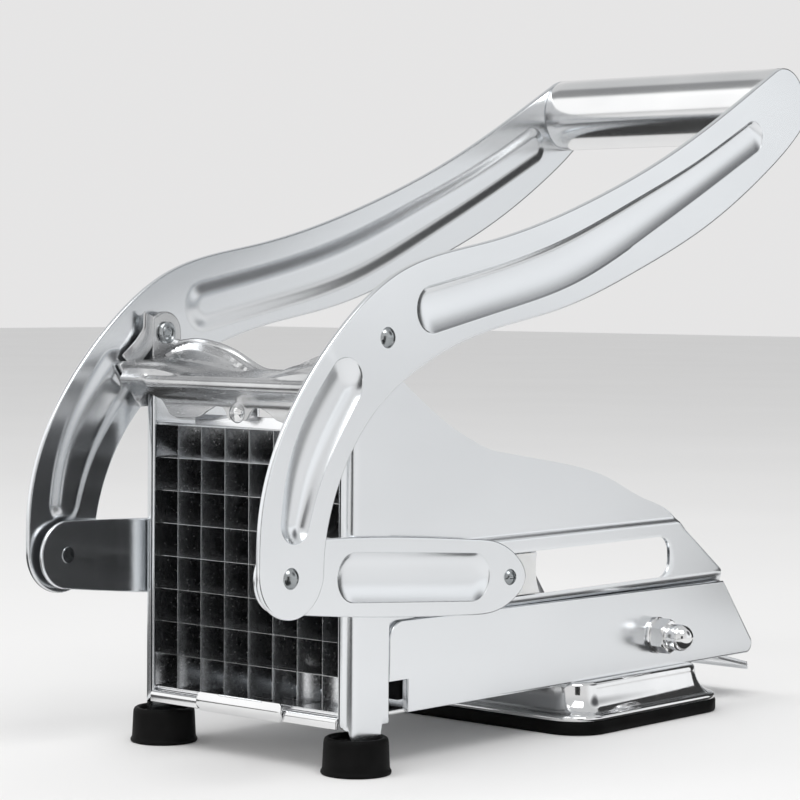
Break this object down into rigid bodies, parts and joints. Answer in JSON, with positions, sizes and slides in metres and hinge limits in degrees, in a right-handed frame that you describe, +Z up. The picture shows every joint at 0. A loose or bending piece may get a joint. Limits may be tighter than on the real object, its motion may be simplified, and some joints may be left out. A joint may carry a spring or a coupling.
{
  "type": "french fry cutter",
  "caption": "Table-top lever cutter: pressing the long handle pulls a studded pusher through a steel box and drives a potato through a square blade grid; suction foot.",
  "frame": {"origin": "middle of the suction pad's underside, on the table", "axes": "+X towards the rear, where the grip is; -X the blade end; +Z up; +Y the right side of a person who stands behind the grip"},
  "size_m": [0.2486, 0.1042, 0.1989],
  "materials": {
    "satin_steel": "satin plated sheet",
    "bright_steel": "bright plated",
    "blade_steel": "bright rolled strip",
    "pin_steel": "turned",
    "black_plastic": "moulded",
    "pale_plastic": "moulded nylon",
    "black_rubber": "matt"
  },
  "bodies": {
    "frame": {"base_pan": "satin_steel", "side_wall_left": "satin_steel", "side_wall_right": "satin_steel", "frame_upright_left": "satin_steel", "frame_upright_right": "satin_steel", "bottom_rail": "bright_steel", "bridge_bracket": "bright_steel", "foot_left": "black_rubber", "foot_right": "black_rubber", "blade_frame": "blade_steel", "vertical_blades": "blade_steel", "horizontal_blades": "blade_steel", "blade_screw": "bright_steel", "suction_dish": "bright_steel", "suction_pad": "black_rubber", "dish_rivets": "pin_steel", "cross_bolt": "pin_steel", "acorn_nuts": "bright_steel", "bolt_washers": "bright_steel", "spacer_tubes": "pin_steel"},
    "handle": {"handle_arm_left": "satin_steel", "handle_arm_right": "satin_steel", "grip_tube": "bright_steel", "pivot_rivets": "pin_steel", "pivot_bushes": "pin_steel", "link_rivets": "pin_steel"},
    "pusher": {"pusher_block": "black_plastic", "pusher_bracket": "satin_steel", "pusher_screws": "pin_steel", "cross_rod": "pin_steel", "rod_collars": "pin_steel", "slide_shoe_left": "pale_plastic", "slide_shoe_right": "pale_plastic", "link_screws": "bright_steel"},
    "left_link": {"link_left": "satin_steel", "link_rivet_tail_left": "pin_steel"},
    "right_link": {"link_right": "satin_steel", "link_rivet_tail_right": "pin_steel"},
    "vacuum_lever": {"suction_lever": "satin_steel", "lever_pin": "pin_steel"},
    "vacuum_stud": {"suction_stud": "pin_steel", "pad_centre": "black_rubber"}
  },
  "joints": [
    {"name": "handle_hinge", "type": "hinge", "parent": "frame", "child": "handle", "pos_m": [-0.118, 0, 0.1155], "axis": [0, 1, 0], "range_deg": [-52, 10]},
    {"name": "pusher_slide", "type": "slide", "parent": "frame", "child": "pusher", "axis": [-1, 0, 0], "range_m": [-0.0611, 0.0119]},
    {"name": "left_link_hinge", "type": "hinge", "parent": "pusher", "child": "left_link", "pos_m": [-0.0619, 0, 0.0479], "axis": [0, 1, 0], "range_deg": [-6.7, 1.4]},
    {"name": "right_link_hinge", "type": "hinge", "parent": "pusher", "child": "right_link", "pos_m": [-0.0619, 0, 0.0479], "axis": [0, 1, 0], "range_deg": [-6.7, 1.4]},
    {"name": "vacuum_lever_hinge", "type": "hinge", "parent": "frame", "child": "vacuum_lever", "pos_m": [0.0111, 0, 0.0245], "axis": [0, 1, 0], "range_deg": [-30, 0]},
    {"name": "vacuum_stud_slide", "type": "slide", "parent": "frame", "child": "vacuum_stud", "axis": [0, 0, 1], "range_m": [-0.0059, 0.0001]}
  ],
  "couplings": [
    {"joint": "pusher_slide", "follows": "handle_hinge", "m_per_rad": 0.06704},
    {"joint": "left_link_hinge", "follows": "handle_hinge", "ratio": 0.127},
    {"joint": "right_link_hinge", "follows": "handle_hinge", "ratio": 0.127},
    {"joint": "vacuum_stud_slide", "follows": "vacuum_lever_hinge", "m_per_rad": 0.0111}
  ]
}
